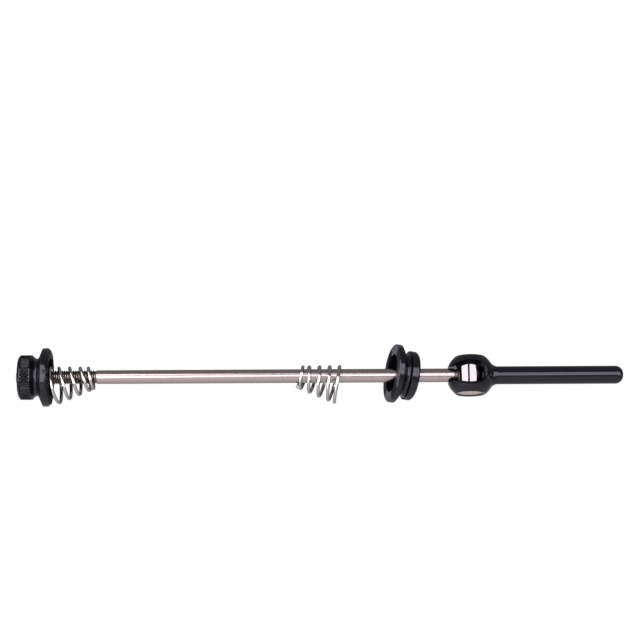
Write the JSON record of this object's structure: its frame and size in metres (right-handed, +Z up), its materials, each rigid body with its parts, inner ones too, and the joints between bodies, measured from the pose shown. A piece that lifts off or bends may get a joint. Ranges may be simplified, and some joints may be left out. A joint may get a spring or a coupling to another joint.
{
  "type": "quick-release hub skewer",
  "caption": "Quick-release skewer for a bicycle rear hub: slim rod, knurled adjusting nut, conical springs, serrated cam cup and a ball-headed cam lever.",
  "frame": {"origin": "middle of the rod's plain shank, on the rod's axis", "axes": "+X runs along the rod from the adjusting nut to the lever, +Z is up and along the pivot barrel"},
  "size_m": [0.2165, 0.0215, 0.0215],
  "materials": {
    "titanium": "satin",
    "polished_steel": "polished",
    "black_anodised": "semi-gloss anodised",
    "spring_steel": "bright drawn",
    "acetal": "matt",
    "nylon": "matt"
  },
  "bodies": {
    "rod": {"skewer_rod": "titanium", "pivot_barrel": "polished_steel"},
    "lever": {"lever": "black_anodised"},
    "washer": {"cam_washer": "acetal"},
    "cup": {"cam_cup": "black_anodised"},
    "lever_spring": {"lever_side_spring": "spring_steel"},
    "nut_spring": {"nut_side_spring": "spring_steel"},
    "nut": {"adjusting_nut": "black_anodised", "nut_lock_ring": "nylon"}
  },
  "joints": [
    {"name": "lever_swing", "type": "hinge", "parent": "rod", "child": "lever", "pos_m": [0.0692, 0, 0], "axis": [0, 0, 1], "range_deg": [-90, 90]},
    {"name": "cup_slide", "type": "slide", "parent": "rod", "child": "washer", "axis": [1, 0, 0], "range_m": [-0.003, 0.0104]},
    {"name": "cup_spin", "type": "hinge", "parent": "washer", "child": "cup", "pos_m": [0.0454, 0, 0.0003], "axis": [0.9637, 0.2456, -0.1045], "continuous": true},
    {"name": "lever_spring_slide", "type": "slide", "parent": "rod", "child": "lever_spring", "axis": [1, 0, 0], "range_m": [-0.05, 0.011]},
    {"name": "nut_travel", "type": "slide", "parent": "rod", "child": "nut_spring", "axis": [1, 0, 0], "range_m": [-0.00151, 0.01201]},
    {"name": "nut_spin", "type": "hinge", "parent": "nut_spring", "child": "nut", "pos_m": [-0.086, 0, 0], "axis": [1, 0, 0], "range_deg": [-675, 5400]}
  ],
  "couplings": [
    {"joint": "nut_travel", "follows": "nut_spin", "m_per_rad": 0.00012732}
  ]
}
